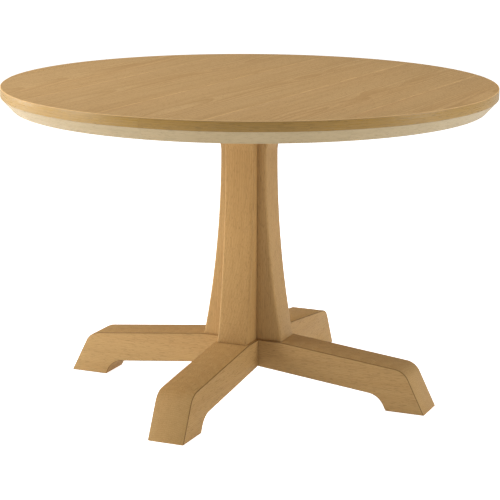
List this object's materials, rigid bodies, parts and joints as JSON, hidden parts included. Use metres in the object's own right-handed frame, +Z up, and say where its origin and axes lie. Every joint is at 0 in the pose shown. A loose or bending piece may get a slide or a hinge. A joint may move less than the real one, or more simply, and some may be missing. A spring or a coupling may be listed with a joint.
{
  "type": "round pedestal dining table",
  "caption": "Round pedestal table: veneered top with a bevelled under-edge, square column with flared fins, and crossed feet with slanted toes.",
  "frame": {"origin": "on the floor, on the column's axis, at the centre of the crossed feet", "axes": "+Z up; the feet run along X and Y; -Y is the front foot, +X the right foot"},
  "size_m": [1.2, 1.2, 0.769],
  "materials": {
    "oak_veneer": "satin lacquered light oak veneer, straight and cathedral grain",
    "oak_edge": "satin lacquered light oak, grain along the edge",
    "oak_base": "satin lacquered light oak, grain along each piece",
    "oak_frame": "sanded, unlacquered oak, hidden pieces",
    "beech": "sanded, loose tongues",
    "core_board": "plain fibreboard with a sanded backing",
    "zinc_steel": "zinc plated",
    "brass": "turned",
    "nylon": "moulded"
  },
  "bodies": {
    "root": {"bearer_bolt_back": "zinc_steel", "bearer_bolt_front": "zinc_steel", "bearer_bolt_left": "zinc_steel", "bearer_bolt_right": "zinc_steel", "bearer_bolt_washer_back": "zinc_steel", "bearer_bolt_washer_front": "zinc_steel", "bearer_bolt_washer_left": "zinc_steel", "bearer_bolt_washer_right": "zinc_steel", "bevel_rail_1": "oak_edge", "bevel_rail_2": "oak_edge", "bevel_rail_3": "oak_edge", "bevel_rail_4": "oak_edge", "bevel_rail_5": "oak_edge", "bevel_rail_6": "oak_edge", "bevel_rail_7": "oak_edge", "bevel_rail_8": "oak_edge", "centre_post": "oak_frame", "column_screw_back": "zinc_steel", "column_screw_front": "zinc_steel", "column_screw_left": "zinc_steel", "column_screw_right": "zinc_steel", "edge_lipping_1": "oak_edge", "edge_lipping_2": "oak_edge", "edge_lipping_3": "oak_edge", "edge_lipping_4": "oak_edge", "fin_back": "oak_base", "fin_front": "oak_base", "fin_left": "oak_base", "fin_right": "oak_base", "foot_beam_front_back": "oak_base", "foot_beam_left_right": "oak_base", "foot_bolt_back": "zinc_steel", "foot_bolt_front": "zinc_steel", "foot_bolt_left": "zinc_steel", "foot_bolt_right": "zinc_steel", "foot_bolt_washer_back": "zinc_steel", "foot_bolt_washer_front": "zinc_steel", "foot_bolt_washer_left": "zinc_steel", "foot_bolt_washer_right": "zinc_steel", "foot_insert_back": "brass", "foot_insert_front": "brass", "foot_insert_left": "brass", "foot_insert_right": "brass", "glide_back": "nylon", "glide_front": "nylon", "glide_left": "nylon", "glide_right": "nylon", "spline_back": "beech", "spline_front": "beech", "spline_left": "beech", "spline_right": "beech", "top_bearer_front_back": "oak_frame", "top_bearer_left_right": "oak_frame", "top_core": "core_board", "top_insert_back": "brass", "top_insert_front": "brass", "top_insert_left": "brass", "top_insert_right": "brass", "top_veneer": "oak_veneer"}
  },
  "joints": []
}
